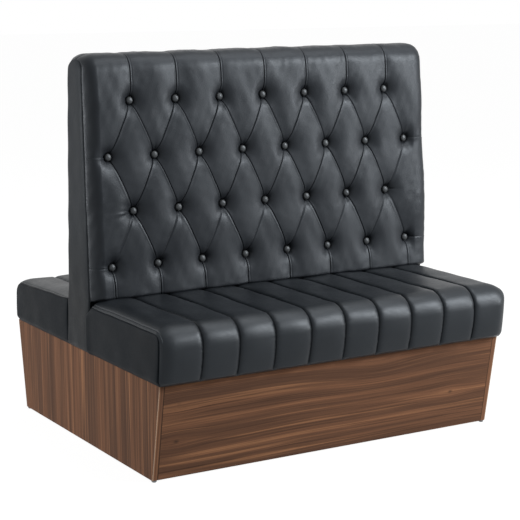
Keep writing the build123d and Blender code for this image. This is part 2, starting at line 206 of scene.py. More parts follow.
def make_walnut(name, length_axis, width_axis, seed, tint=1.0, specular=0.2, knots=(), band=None):
    """Walnut-grain laminate: long streaks that part round the knots, with fine lines and pores.

    Where band gives a strip's inner and outer place, painted shade is drawn as a dark line in the joint at
    its inner edge, and a painted highlight as a pale line along its outer edge.
    """
    n = Nodes(name, specular, IOR=1.3)
    axes = n.axes(n.place())
    along = n.math("ADD", axes[length_axis], seed)
    across = axes[width_axis]
    drift = n.noise(n.join(n.times(along, 1.1), n.times(across, 3.0), seed), 1.0, 1.0)
    flow = n.math("MULTIPLY_ADD", n.math("SUBTRACT", drift, 0.5), 0.035, across)
    flow, spots = part_round_knots(n, along, flow, across, knots, seed)

    def streaks(along_scale, across_scale, step, detail=2.0, roughness=0.5):
        place = n.join(n.times(along, along_scale), n.times(flow, across_scale), seed + step)
        return n.noise(place, 1.0, detail, roughness)

    wide = streaks(0.7, 22.0, 0.0)
    bands = streaks(0.9, 62.0, 3.0)
    veins = streaks(1.0, 95.0, 5.0, 1.0)
    threads = streaks(2.0, 190.0, 6.0, 2.0, 0.6)
    lines = streaks(3.0, 330.0, 7.0, 3.0, 0.6)
    pores = streaks(40.0, 1500.0, 9.0, 2.0, 0.6)
    dark = scaled((0.068, 0.037, 0.025), tint)
    middle = scaled((0.146, 0.071, 0.041), tint)
    light = scaled((0.262, 0.128, 0.066), tint)
    colour = n.blend(n.span(wide, 0.38, 0.62, 0.25, 1.0), dark, middle)
    for figure, first, last, most, tone in (
        (bands, 0.54, 0.70, 0.90, light),
        (bands, 0.47, 0.34, 0.55, dark),
        (veins, 0.36, 0.26, 0.80, scaled(dark, 0.6)),
        (threads, 0.48, 0.34, 0.60, scaled(dark, 0.75)),
        (threads, 0.56, 0.72, 0.35, light),
        (lines, 0.50, 0.30, 0.60, dark),
        (lines, 0.56, 0.74, 0.30, light),
        (pores, 0.60, 0.72, 0.40, scaled((0.035, 0.02, 0.014), tint)),
    ):
        colour = n.blend(n.span(figure, first, last, 0.0, most), colour, tone)
    if spots is not None:
        colour = n.blend(n.span(spots, 0.1, 1.0, 0.0, 0.8, False), colour, (0.032, 0.022, 0.018))
    if band is not None:
        inner, outer = band
        outwards = n.math("ABSOLUTE", axes[0])
        # painted shade in the joint at the strip's inner edge, and a painted highlight along its outer edge
        painted_joint_shade = n.span(outwards, inner + 0.0032, inner + 0.0018, 0.0, 0.85)
        painted_edge_highlight = n.span(outwards, outer - 0.0030, outer - 0.0016, 0.0, 0.75)
        colour = n.blend(painted_joint_shade, colour, (0.020, 0.014, 0.010))
        colour = n.blend(painted_edge_highlight, colour, (0.40, 0.30, 0.22))
    rough = n.span(bands, 0.3, 0.7, 0.54, 0.46)
    normal = n.bump(pores, 0.00012, 0.35)
    normal = n.bump(lines, 0.00015, 0.25, normal)
    return n.finish(colour, rough, normal)


def make_plywood(name, tone, dark, scale=1.0):
    """Bare plywood or softwood, with long soft grain."""
    n = Nodes(name, 0.25)
    axes = n.axes(n.place())
    stretch = (3.0 * scale, 60.0 * scale, 60.0 * scale)
    grain_place = n.join(*(n.times(axis, factor) for axis, factor in zip(axes, stretch)))
    grain = n.noise(grain_place, 1.0, 4.0, 0.6, 0.6)
    speck = n.noise(n.place(), 300.0, 2.0)
    colour = n.blend(n.span(grain, 0.35, 0.68), dark, tone)
    colour = n.blend(n.span(speck, 0.6, 0.8, 0.0, 0.3), colour, dark)
    return n.finish(colour, n.span(grain, 0.3, 0.7, 0.62, 0.75), n.bump(grain, 0.0004, 0.4))


def make_metal(name, colour, low, high, scale):
    """Plated steel with a faint haze."""
    n = Nodes(name, Metallic=1.0)
    haze = n.noise(n.place(), scale, 4.0, 0.6)
    tone = n.blend(n.span(haze, 0.3, 0.7), scaled(colour, 0.8), colour)
    return n.finish(tone, n.span(haze, 0.3, 0.7, low, high), n.bump(haze, 0.0001, 0.3))


def make_foam(name):
    """Open-celled upholstery foam."""
    n = Nodes(name, 0.1)
    cells = n.add("TexVoronoi", {"Vector": n.place(), "Scale": 420.0})
    colour = n.blend(n.span(cells, 0.0, 0.6), (0.52, 0.44, 0.27), (0.70, 0.62, 0.42))
    return n.finish(colour, n.span(cells, 0.0, 0.6, 0.8, 0.95), n.bump(cells, 0.0008, 0.6))


# Each vinyl piece's darker and lighter tone; all are one vinyl, and the seat's and the boxing's tones are
# darker than the back's as painted shade
back_tones = (0.010, 0.0115, 0.0140), (0.0145, 0.0165, 0.0195)
seat_tones_with_painted_shade = (0.0042, 0.0054, 0.0070), (0.0066, 0.0082, 0.0102)
boxing_tones_with_painted_shade = (0.0052, 0.0066, 0.0083), (0.0075, 0.0092, 0.0113)
end_tones = (0.0105, 0.0128, 0.0155), (0.0150, 0.0178, 0.0210)
button_tones = (0.030, 0.032, 0.034), (0.042, 0.045, 0.047)

# Each knot's place along and across the panel, its size, how far it pushes the grain and how dark it is
front_knots = (
    (-0.533, 0.117, 0.011, 0.55, 0.9),
    (-0.533, 0.232, 0.011, 0.35, 0.35),
    (0.441, 0.128, 0.010, 0.55, 0.9),
    (0.160, 0.285, 0.026, 0.65, 0.0),
)
rear_knots = ((0.3, 0.09, 0.013, 0.5, 0.8), (-0.2, 0.25, 0.03, 0.6, 0.0))
side_panel_inside = 0.582
band_places = (side_panel_inside, half_length)

by_slot = {
    "walnut_laminate": make_walnut("panel_walnut", 0, 2, 0.0, 1.12, 0.08, front_knots),
    "walnut_edge_band": make_walnut("edge_walnut", 2, 0, 15.0, 1.25, 0.10, band=band_places),
    "softwood": make_plywood("softwood", (0.66, 0.47, 0.27), (0.47, 0.30, 0.15), 0.7),
    "plywood": make_plywood("plywood", (0.60, 0.42, 0.24), (0.42, 0.27, 0.14)),
    "glide_steel": make_metal("nickel", (0.16, 0.165, 0.17), 0.35, 0.5, 120.0),
    "zinc_steel": make_metal("zinc", (0.62, 0.64, 0.66), 0.3, 0.42, 180.0),
    "foam": make_foam("foam"),
    "tufted_vinyl": make_vinyl("back_vinyl", *back_tones, (0.37, 0.43), 0.19),
    # the end strips' colour has painted shade that darkens it towards their foot
    "plain_vinyl": make_vinyl("end_vinyl", *end_tones, (0.42, 0.50), 0.08, (0.44, 0.80, 0.60)),
    "button_vinyl": make_vinyl("button_vinyl", *button_tones, (0.30, 0.38), 0.26),
    # the seat vinyl's darker tones are painted shade
    "seat_vinyl": make_vinyl("seat_vinyl", *seat_tones_with_painted_shade, (0.40, 0.45), 0.28),
}
# the boxing vinyl's darker tones are painted shade
boxing_vinyl = make_vinyl("boxing_vinyl", *boxing_tones_with_painted_shade, (0.44, 0.52), 0.04)
side_walnut = make_walnut("side_walnut", 2, 1, 9.0, 1.23, 0.06)
rear_walnut = make_walnut("rear_walnut", 0, 2, 4.0, knots=rear_knots)
by_node = {"left_side_panel": side_walnut, "right_side_panel": side_walnut, "rear_panel": rear_walnut}
for subpart in frame["record"]["subparts"]:
    name = subpart["node"]
    chosen = by_node.get(name, by_slot[subpart["material_slot"]])
    data = frame["nodes"][name].data
    data.materials.clear()
    data.materials.append(chosen)


# Mesh helpers


def make_piece(name, points, faces, body, slot, nodes, sign=1, material=None):
    """A smooth mesh on a body that stands for CAD nodes; a sign of -1 turns it to the rear."""
    faces = faces if isinstance(faces, list) else faces.tolist()
    mesh = bpy.data.meshes.new(name)
    mesh.from_pydata((points * np.array([1, sign, 1])).tolist(), [], [face[::sign] for face in faces])
    mesh.polygons.foreach_set("use_smooth", [True] * len(mesh.polygons))
    mesh.materials.append(material or by_slot[slot])
    mesh.update()
    piece = bpy.data.objects.new(name, mesh)
    bpy.context.collection.objects.link(piece)
    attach(piece, body)
    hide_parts(*nodes)
    return piece


def grid_faces(rows, columns, start=0, close=False):
    """Quads between the points of a grid, row by row."""
    index = start + np.arange(rows * columns).reshape(rows, columns)
    if close:
        index = np.hstack([index, index[:, :1]])
    return np.stack([index[:-1, :-1], index[:-1, 1:], index[1:, 1:], index[1:, :-1]], -1).reshape(-1, 4)


def graded(count, power):
    """Steps from 0 to 1 that are finer towards both ends."""
    share = np.linspace(0, 1, count + 1)
    return share**power / (share**power + (1 - share) ** power)


def smooth(value, low, high):
    """0 up to low and 1 from high on, with a soft rise between them."""
    share = np.clip((value - low) / (high - low), 0, 1)
    return share * share * (3 - 2 * share)


def ridge(distance, width, power=2):
    """1 at a distance of zero, falling off softly within about a width."""
    return np.exp(-((distance / width) ** power))


def normals_of(points, faces):
    """Point normals of a quad mesh, by area."""
    a, b, c, d = (points[faces[:, i]] for i in range(4))
    face_normals = np.cross(c - a, d - b)
    total = np.zeros_like(points)
    for i in range(4):
        np.add.at(total, faces[:, i], face_normals)
    return total / np.maximum(np.linalg.norm(total, axis=1, keepdims=True), 1e-12)


def waves(x, y, scale, seed, count=7):
    """Smooth seeded noise from a few crossed waves, between about -1 and 1."""
    source = np.random.default_rng(seed)
    total = np.zeros_like(x)
    for _ in range(count):
        turn = source.uniform(0, 2 * math.pi)
        phase = source.uniform(0, 2 * math.pi)
        size = source.uniform(0.6, 1.7)
        total += np.sin((x * math.cos(turn) + y * math.sin(turn)) * 2 * math.pi * size / scale + phase)
    return total / math.sqrt(count)


# Tufted back: a sheet of cells that share their pleats, in metres across and up the leaning plane

arm = graded(28, 2.0)
side = graded(12, 1.3)
rise = graded(26, 1.4)
fall = graded(16, 1.3)
rim_places = -rim_start - rim_length * graded(16, 1.2)
roll_ups = foot_up - roll_length * np.linspace(0, 1, 13)


def line(start, end, shares):
    return np.array(start) + (np.array(end) - np.array(start)) * shares[:, None]


def chain(*points):
    """Points along pleats that follow each other."""
    parts = [line(a, b, arm) for a, b in zip(points, points[1:])]
    return np.vstack([parts[0]] + [part[1:] for part in parts[1:]])


def columns_from(border, level, shares):
    """A patch of columns from a border up or down to a level."""
    ends = np.column_stack([border[:, 0], np.full(len(border), level)])
    return border[:, None, :] + (ends - border)[:, None, :] * shares[None, :, None]


def crossed(places, ups):
    """A patch of every place across with every place up."""
    return np.stack(np.meshgrid(places, ups, indexing="ij"), -1)


def diamond_patches():
    """The cells between four buttons."""
    patches = []
    for row, columns in ((1, short_row), (2, long_row[1:-1])):
        for x in columns:
            low = np.array((x, row_ups[row + 1]))
            right = np.array((x + pitch / 2, row_ups[row])) - low
            left = np.array((x - pitch / 2, row_ups[row])) - low
            patches.append(low + arm[:, None, None] * right + arm[None, :, None] * left)
    return patches


def border_patches():
    """The cells above the top row of buttons and below the last, and the roll under those."""
    above, below, under = [], [], []
    for left, middle, right in zip(short_row, long_row[1:], short_row[1:]):
        border = chain((left, row_ups[0]), (middle, row_ups[1]), (right, row_ups[0]))
        above.append(columns_from(border, crest_up, rise))
    for left, middle, right in zip(long_row, short_row, long_row[1:]):
        border = chain((left, row_ups[3]), (middle, row_ups[2]), (right, row_ups[3]))
        below.append(columns_from(border, foot_up, fall))
        under.append(crossed(border[:, 0], roll_ups))
    return above + below + under


def left_end_patches():
    """The cells at the left end, the rim beyond them and the roll under them."""
    zigzag = chain((long_row[0], row_ups[3]), (short_row[0], row_ups[2]), (long_row[0], row_ups[1]))
    level = line((-rim_start, row_ups[1]), (long_row[0], row_ups[1]), side)
    top_border = np.vstack([level, chain((long_row[0], row_ups[1]), (short_row[0], row_ups[0]))[1:]])
    foot_border = line((-rim_start, row_ups[3]), (long_row[0], row_ups[3]), side)
    top_ups = row_ups[1] + (crest_up - row_ups[1]) * rise
    foot_ups = row_ups[3] + (foot_up - row_ups[3]) * fall
    patches = [np.stack([line((-rim_start, ups), (x, ups), side) for x, ups in zigzag])]
    patches.append(columns_from(top_border, crest_up, rise))
    patches.append(columns_from(foot_border, foot_up, fall))
    patches += [crossed(rim_places, ups) for ups in (zigzag[:, 1], top_ups, foot_ups, roll_ups)]
    patches.append(crossed(foot_border[:, 0], roll_ups))
    return patches


def join_patches(patches):
    """One sheet from patches that meet point to point, with all its quads turned one way."""
    points, faces, start = [], [], 0
    for patch in patches:
        rows, columns = patch.shape[:2]
        points.append(patch.reshape(-1, 2))
        faces.append(grid_faces(rows, columns, start))
        start += rows * columns
    points = np.vstack(points)
    _, first, where = np.unique(np.round(points, 6), axis=0, return_index=True, return_inverse=True)
    points = points[first]
    faces = where.reshape(-1)[np.vstack(faces)]
    corners = points[faces]
    turns = np.cross(corners[:, 2] - corners[:, 0], corners[:, 3] - corners[:, 1])
    return points, np.where(turns[:, None] < 0, faces[:, ::-1], faces)


left_end = left_end_patches()
right_end = [patch * np.array([-1, 1]) for patch in left_end]
sheet, sheet_faces = join_patches(diamond_patches() + border_patches() + left_end + right_end)
across, up = sheet[:, 0], sheet[:, 1]
clamped_up = np.maximum(up, foot_up)

# Pleats between the buttons, and the ones that run from them up, down and out to the ends
pleats = []
for row in range(3):
    upper, lower = (long_row, short_row) if row % 2 else (short_row, long_row)
    pairs = [(x, other) for x in upper for other in lower if abs(other - x) < pitch]
    pleats += [((x, row_ups[row]), (other, row_ups[row + 1])) for x, other in pairs]
uprights = [((x, row_ups[0]), (x, crest_up)) for x in short_row]
drops = [((x, row_ups[3]), (x, foot_up - roll_length)) for x in long_row]
levels = []
for level in (row_ups[1], row_ups[3]):
    for sign in (-1, 1):
        levels.append(((sign * long_row[-1], level), (sign * (rim_start + rim_length), level)))


def reach(segment):
    """Each point's distance from a segment, its share along it, and its side."""
    start, end = np.array(segment[0]), np.array(segment[1])
    run = end - start
    share = np.clip(((sheet - start) @ run) / (run @ run), 0, 1)
    offset = sheet - start - share[:, None] * run
    turn = run[0] * (sheet[:, 1] - start[1]) - run[1] * (sheet[:, 0] - start[0])
    return np.linalg.norm(offset, axis=1), share, np.sign(turn)


def skin_weights(triangles, least_cross=1e-14, most_cotangent=50):
    """Pairs of joined points with their cotangent weights, and each point's area."""
    firsts, seconds, weights, areas = [], [], [], np.zeros(len(sheet))
    for i in range(3):
        a, b, c = (triangles[:, (i + k) % 3] for k in range(3))
        one, two = sheet[b] - sheet[a], sheet[c] - sheet[a]
        cross = np.abs(one[:, 0] * two[:, 1] - one[:, 1] * two[:, 0])
        cotangent = (one * two).sum(axis=1) / np.maximum(cross, least_cross)
        cotangent = np.where(cross > least_cross, cotangent, 0)
        firsts.append(b)
        seconds.append(c)
        weights.append(np.clip(cotangent, 0, most_cotangent) / 2)
        np.add.at(areas, a, cross / 6)
    return np.concatenate(firsts), np.concatenate(seconds), np.concatenate(weights), areas


def blown_skin(inside, most_steps=900, small_enough=1e-18):
    """The height of a skin that is held down at its pleats and blown up between them."""
    fixed = ~inside
    for segment in pleats + uprights + drops + levels:
        fixed |= reach(segment)[0] < 1e-6
    triangles = np.vstack([sheet_faces[:, [0, 1, 2]], sheet_faces[:, [0, 2, 3]]])
    firsts, seconds, weights, areas = skin_weights(triangles[inside[triangles].all(axis=1)])
    count = len(sheet)
    total = np.bincount(firsts, weights, count) + np.bincount(seconds, weights, count) + 1e-12
    height = np.zeros(count)
    left_over = np.where(fixed, 0, areas)
    search = left_over / total
    gain = (left_over * search).sum()
    for _ in range(most_steps):
        spread = np.bincount(firsts, weights * search[seconds], count)
        spread += np.bincount(seconds, weights * search[firsts], count)
        step = np.where(fixed, 0, total * search - spread)
        size = gain / (search * step).sum()
        height += size * search
        left_over -= size * step
        eased = left_over / total
        new_gain = (left_over * eased).sum()
        if new_gain < small_enough:
            break
        search = eased + search * new_gain / gain
        gain = new_gain
    return np.clip(height, 0, None)


def cell_height(skin, full_skin=0.0017, pillow=0.0215, dome_rise=0.0038, well=0.0120, pull_width=0.0165):
    """How far the cells stand out: pillows that the buttons pull in, with domes on them."""
    dome = ((1 - np.exp(-1.5 * skin / full_skin)) / (1 - math.exp(-1.5))) ** 1.7
    dome = dome * (1 - 0.5 * smooth(up, -0.02, crest_up))
    pull_in = np.ones(len(sheet))
    for x, spot in button_spots:
        distance = np.hypot(across - x, up - spot)
        pull_in *= 1 - np.exp(-np.clip(distance - well, 0, None) / pull_width)
    top_share = 1 - 0.32 * smooth(up, -0.10, 0.03)
    return (pillow * pull_in + dome_rise * dome) * top_share


def carried_out(height, inside, levels_count=600, evened=121):
    """The height carried on to the rims, where it evens out, and to the roll under the foot."""
    left_border = inside & (np.abs(across + rim_start) < 1e-6)
    order = np.argsort(up[left_border])
    border_up, border_height = up[left_border][order], height[left_border][order]
    foot_line = inside & (np.abs(up - foot_up) < 1e-6)
    order = np.argsort(across[foot_line])
    foot_across, foot_height = across[foot_line][order], height[foot_line][order]
    foot_height = np.interp(np.clip(across, -rim_start, rim_start), foot_across, foot_height)
    height = np.where(up < foot_up - 1e-7, foot_height, height)
    heights_up = np.linspace(foot_up, crest_up, levels_count)
    padded = np.pad(np.interp(heights_up, border_up, border_height), evened // 2, mode="edge")
    even = np.convolve(padded, np.ones(evened) / evened, "valid")
    even = np.interp(clamped_up, heights_up, even)
    beyond = smooth(-across, rim_start, rim_start + 0.6 * rim_length)
    beyond = beyond + smooth(across, rim_start - 0.014, rim_start + 0.015)
    rim_height = np.interp(clamped_up, border_up, border_height)
    height = np.where(np.abs(across) > rim_start + 1e-7, rim_height, height)
    return height * (1 - beyond) + even * beyond


def right_end_swell():
    """The right end's cells stand a little fuller half way up."""
    z = valley_z + np.minimum(up, 0) * math.cos(lean)
    return 0.003 * smooth(across, 0.50, 0.60) * ridge(z - 0.66, 0.20)


def seam_line(ups):
    """The end seam's distance from the middle and its height, up the lean and over the arch."""
    z = valley_z + np.minimum(ups, 0) * math.cos(lean)
    half = seam_half_top + (seam_top - z) * math.tan(seam_lean)
    angle = np.clip(ups / crest_up, 0, 1) * math.pi / 2
    return half * np.cos(angle) ** 0.8, z + arch_rise * np.sin(angle)


def wrap(ups, heights):
    """Places up the leaning plane, round the top arc and on to the middle, out by a height."""
    flat = np.minimum(ups, 0)
    y = valley_y + flat * math.sin(lean) - heights * math.cos(lean)
    z = valley_z + flat * math.cos(lean) + heights * math.sin(lean)
    angle = lean + np.clip(ups / top_radius, 0, math.pi / 2 - lean)
    over = ups > 0
    y = np.where(over, arc_y - (top_radius + heights) * np.cos(angle), y)
    z = np.where(over, arc_z + (top_radius + heights) * np.sin(angle), z)
    return y + np.maximum(ups - top_radius * (math.pi / 2 - lean), 0), z


def lean_in(ups, x):
    """How far the ends draw in towards the middle near their arched tops."""
    return np.where(x < 0, 0.004, 0.005) * smooth(ups, -0.03, crest_up)


def end_bulge(x, z):
    """How far the right end bellies out."""
    return (0.0030 + 0.0085 * smooth(-z, -1.0, -0.74)) * smooth(z, 0.30, 0.42) * (x > 0)


rim = np.clip((np.abs(across) - rim_start) / rim_length, 0, 1)
under = np.clip((foot_up - up) / roll_length, 0, 1) * math.pi / 2


def rim_curves(left_turn=math.radians(38)):
    """Over the rims: how much of the front's depth is kept, and of the reach is made."""
    turn = rim * math.pi / 2
    left_angle = rim * left_turn
    left_kept = (np.cos(left_angle) - math.cos(left_turn)) / (1 - math.cos(left_turn))
    kept = np.where(across < 0, left_kept, np.cos(turn) ** 0.62)
    made = np.where(across < 0, np.sin(left_angle) / math.sin(left_turn), np.sin(turn) ** 0.85)
    return kept, made


def back_places(height):
    """The places of the sheet's points, with the tuck at the foot and the rims."""
    y, z = wrap(clamped_up, height)
    y = np.where(under > 0, -tuck_y - (-y - tuck_y) * np.cos(under), y)
    z = np.where(under > 0, tuck_z + (z - tuck_z) * (1 - np.sin(under)), z)
    seam_half, seam_z = seam_line(clamped_up)
    seam_z = np.where(under > 0, seam_z + (tuck_z - seam_z) * np.sin(under), seam_z)
    kept, made = rim_curves()
    corner = np.clip((np.abs(across) - 0.51) / 0.10, 0, 1) ** 2 * smooth(up, -0.03, 0.6 * crest_up)
    corner_drop = np.where(across < 0, 0.008, 0.001) * corner
    crest_lift = 0.004 * smooth(across, -0.45, 0.35) * smooth(up, -0.02, crest_up)
    z = z + (crest_lift - corner_drop) * kept
    y = np.where(rim > 0, -seam_half + (y + seam_half) * kept, y)
    z = np.where(rim > 0, seam_z + (z - seam_z) * kept, z)
    full_reach = np.where(across < 0, left_reach, right_reach - 0.0018 * smooth(rim, 0.8, 1))
    outwards = full_reach - lean_in(clamped_up, across) - rim_start + end_bulge(across, z)
    x = np.where(rim > 0, np.sign(across) * (rim_start + outwards * made), across)
    return np.column_stack([x, y, z])


def fold_relief():
    """Narrow folds along the pleats, with lips, and a second fold beside upright ones."""
    relief = np.zeros(len(sheet))
    folds = [(pleats, 0.0024, 0.0009), (uprights, 0.0021, 0.0007), (drops, 0.0025, 0.0007)]
    for group, depth, lip in folds + [(levels, 0.0012, 0.0010)]:
        for segment in group:
            distance, _, flank = reach(segment)
            near = distance < 0.03
            falling = flank * (segment[1][0] - segment[0][0]) <= 0
            relief -= np.where(near, depth * ridge(distance, 0.0010, 1.7), 0)
            relief += np.where(near & falling, lip * ridge(distance - 0.0027, 0.0012), 0)
    for segment in uprights + drops:
        distance, share, _ = reach(segment)
        fold = 0.0011 * ridge(across - segment[0][0] - 0.0052, 0.0010)
        relief -= np.where((distance < 0.03) & (share > 0), fold, 0)
    return relief * (1 - 0.5 * smooth(rim, 0.2, 1)) * (1 - 0.6 * smooth(up, -0.02, crest_up))


def button_relief():
    """Puckers round the buttons, and the wells that the buttons sit in."""
    relief = np.zeros(len(sheet))
    for number, (x, spot) in enumerate(button_spots):
        distance = np.hypot(across - x, up - spot)
        angle = np.arctan2(up - spot, across - x)
        source = np.random.default_rng(40 + number)
        ripple = sum(np.sin(angle * k + source.uniform(0, 6.3)) for k in (5, 7, 9, 12)) / 2
        relief += np.where(distance < 0.09, 0.0005 * ripple * ridge(distance - 0.024, 0.016), 0)
        relief -= 0.0042 * (1 - smooth(distance, 0.0118, 0.0148))
    return relief


def fan_relief():
    """Small creases that fan out from one button towards the left end."""
    distance = np.hypot(across - short_row[0], up - row_ups[2])
    angle = np.arctan2(row_ups[2] - up, short_row[0] - across)
    reached = smooth(distance, 0.012, 0.03) * (1 - smooth(distance, 0.035, 0.085))
    return 0.0010 * ridge(angle - 0.25, 0.45) * reached * np.sin(angle * 17)


def uneven_relief():
    """Slow unevenness of the skin, less of it near the buttons."""
    nearest = np.min([np.hypot(across - x, up - spot) for x, spot in button_spots], axis=0)
    slow = 0.0010 * waves(across, up, 0.16, 3) * smooth(nearest, 0.02, 0.06)
    return slow + 0.00035 * waves(across, up, 0.045, 4)


def seam_relief():
    """The dips at the end seams and at the seam along the crest."""
    from_seam = (1 - rim) * rim_length
    seam_dip = np.where(across < 0, 0.0006, 0.0020) * ridge(from_seam, 0.0018) * (rim > 0)
    return -seam_dip - 0.0016 * ridge(crest_up - up, 0.0022)


inside = (np.abs(across) <= rim_start + 1e-6) & (up >= foot_up - 1e-6)
back_height = carried_out(cell_height(blown_skin(inside)), inside) + right_end_swell()
back_points = back_places(back_height)
relief = fold_relief() + button_relief() + fan_relief() + uneven_relief() + seam_relief()
relief *= 1 - smooth(under, 0.6, 1.5)
back_points += normals_of(back_points, sheet_faces) * relief[:, None]
back_points[:, 1] = np.minimum(back_points[:, 1], 0)
for side_name, sign, top_foam in (("front", 1, ("back_top_foam",)), ("rear", -1, ())):
    replaced = (side_name + "_tufted_cover", side_name + "_back_foam") + top_foam
    name = side_name + "_tufted_back"
    make_piece(name, back_points, sheet_faces, "booth", "tufted_vinyl", replaced, sign)


# Covered buttons, one mesh for each side

# A button's radius and height, from its rim behind to the middle of its face
button_profile = [(0.0098, -0.0035), (0.0110, -0.0010), (0.0112, 0.0008), (0.0107, 0.0026)]
button_profile += [(0.0093, 0.0044), (0.0070, 0.0058), (0.0038, 0.0067), (0.0, 0.0070)]
button_turns = np.linspace(0, 2 * math.pi, 28, endpoint=False)
button_seat = 0.0022


def button_rings(number, x, spot):
    """The rings of one button, a little tilted, with faint gathers in its cloth."""
    out_way = np.array((0, -math.cos(lean), math.sin(lean)))
    up_way = np.array((0, math.sin(lean), math.cos(lean)))
    middle = np.array((x, valley_y, valley_z)) + up_way * spot + out_way * button_seat
    source = np.random.default_rng(200 + number)
    tilt_x, tilt_up = source.uniform(-0.05, 0.05, 2)
    rings = []
    for radius, high in button_profile:
        gathers = 1 + 0.012 * np.sin(button_turns * 9 + source.uniform(0, 6)) * (radius > 0.009)
        out_x, out_up = radius * gathers * np.cos(button_turns), radius * gathers * np.sin(button_turns)
        out = np.outer(high + out_x * tilt_x + out_up * tilt_up, out_way)
        rings.append(middle + np.outer(out_x, (1, 0, 0)) + np.outer(out_up, up_way) + out)
    return np.vstack(rings)


button_size = len(button_profile) * len(button_turns)
button_points = np.vstack([button_rings(number, x, spot) for number, (x, spot) in enumerate(button_spots)])
one_button = grid_faces(len(button_profile), len(button_turns), 0, True)
button_faces = np.vstack([one_button + number * button_size for number in range(len(button_spots))])
for side_name, sign in (("front", 1), ("rear", -1)):
    name, replaced = side_name + "_covered_buttons", (side_name + "_buttons",)
    make_piece(name, button_points, button_faces, "booth", "button_vinyl", replaced, sign)


# Flat end strips between the two tufted covers, arched at the top


def make_end_strip(end_name, sign, seam_x, foot_shift, foot_half=0.0655):
    """One strip, puffed between its edges and narrower behind the front cushion."""
    foot = (base_top + foot_gap - valley_z) / math.cos(lean)
    ups = np.concatenate([np.linspace(foot, 0, 76), crest_up * graded(16, 1.3)[1:]])
    shares = graded(22, 1.5)
    half, height = seam_line(ups)
    front_tuck = (half - foot_half) * smooth(-height, -0.47, -base_top - 0.02)
    front, rear = (front_tuck - half)[:, None], half[:, None]
    y = front + (rear - front) * shares
    z = np.repeat(height[:, None], len(shares), axis=1)
    from_edge = np.minimum(y - front, rear - y)
    puff = 0.0050 - 0.0050 * np.exp((front - y) / 0.008) - 0.0018 * np.exp((y - rear) / 0.004)
    puff = puff * (0.4 + 0.6 * np.clip((height[-1] - z) / 0.02, 0, 1))
    puff = puff - 0.0015 * ridge(from_edge, 0.0022) + 0.0005 * waves(y, z, 0.11, 21)
    low_share = smooth(z, base_top - 0.004, base_top + 0.014)
    x = half_length + (seam_x - half_length + puff) * low_share - lean_in(ups, sign)[:, None]
    x = sign * (x + foot_shift * smooth(-z, -0.48, -0.43) * low_share + end_bulge(sign, z))
    points = np.stack([x, y, z], -1).reshape(-1, 3)
    faces = grid_faces(len(ups), len(shares))[:, ::sign]
    name, replaced = end_name + "_back_end_strip", (end_name + "_back_end_cover",)
    make_piece(name, points, faces, "booth", "plain_vinyl", replaced)


make_end_strip("left", -1, left_strip_x, 0.0015)
make_end_strip("right", 1, right_strip_x, 0.0)


# Plain covers at the foot of the back, behind the seats


def make_foot_cover(side_name, sign, wide_from=0.58):
    """One cover, slanted out to the tuck at the front and plain at the rear."""
    xs = np.linspace(-foot_cover_half, foot_cover_half, 81)
    slanted = np.linspace(low_top, tuck_z + 0.001, 9)[1:]
    zs = np.concatenate([np.linspace(base_top + foot_gap, low_top, 10), slanted])
    x, z = np.meshgrid(xs, zs)
    outwards = np.clip((np.abs(x) - wide_from) / (foot_cover_half - wide_from), 0, 1)
    outwards = outwards * smooth(z, base_top, base_top + 0.02)
    x = x + np.sign(x) * (np.where(x < 0, 0.0030, 0.0015) + end_bulge(x, z)) * outwards
    slant = np.clip((z - low_top) / (tuck_z - low_top), 0, 1)
    slanting = low_half + (tuck_y - low_half) * slant
    plain = tuck_y + (tuck_z - z) * math.tan(seam_lean) * 0.4
    y = -(slanting if sign > 0 else plain) - 0.0004 * waves(x, z, 0.12, 23)
    points = np.stack([x, y, z], -1).reshape(-1, 3)
    name, replaced = side_name + "_foot_cover", (side_name + "_back_lower_cover",)
    faces = grid_faces(len(zs), len(xs))
    make_piece(name, points, faces, "booth", "plain_vinyl", replaced, sign)


make_foot_cover("front", 1)
make_foot_cover("rear", -1)


# Seat cushions: ten sewn channels that roll over the front, with flat boxing at the ends

channel = 2 * half_length / channels
seat_low = 0.2935
foot_round = 0.010
end_turn = math.radians(54)
double_seam = 0.0078
stitch = 0.0064
section_middle = np.array([-0.30, 0.375])


def arc(centre, radius, start, end, count):
    angles = np.radians(np.linspace(start, end, count))
    return np.column_stack([centre[0] + radius * np.cos(angles), centre[1] + radius * np.sin(angles)])


def seat_outline(back, front, top, roll, taper, rear_roll, fall=0.0, dip=0.0):
    """A cushion's section, at an end or in the middle: up its back, over the top, down and under.

    The face draws in by the taper at its foot, the top falls towards the front and dips near the back.
    """
    rear = np.column_stack([np.full(16, -back), np.linspace(seat_low + 0.006, top - rear_roll - 0.004, 16)])
    rear_arc = arc((-(back + rear_roll), top - rear_roll), rear_roll, 0, 90, 16)
    flat = np.column_stack([np.linspace(-(back + rear_roll), -(front - roll), 150)[1:], np.full(149, top)])
    front_arc = arc((-(front - roll), top - roll), roll, 90, 180, 48)[1:]
    low = np.linspace(0, 1, 50)[1:]
    face_z = top - roll + (seat_low + foot_round - top + roll) * low
    face = np.column_stack([taper * low**2 - front, face_z])
    foot_y = -(front - taper - foot_round)
    foot = arc((foot_y, seat_low + foot_round), foot_round, 180, 268, 10)[1:]
    under = np.column_stack([np.linspace(foot_y + 0.006, -(back + 0.012), 14), np.full(14, seat_low)])
    last = [(-(back + 0.002), seat_low + 0.0015)]
    outline = np.vstack([rear, rear_arc, flat, front_arc, face, foot, under, last])
    upper = smooth(outline[:, 1], top - 0.1, top)
    outline[:, 1] -= upper * fall * np.clip((-outline[:, 0] - back) / (front - roll - back), 0, 1)
    outline[:, 1] -= upper * dip * smooth(outline[:, 0], -(back + 0.10), -(back + 0.005))
    return outline


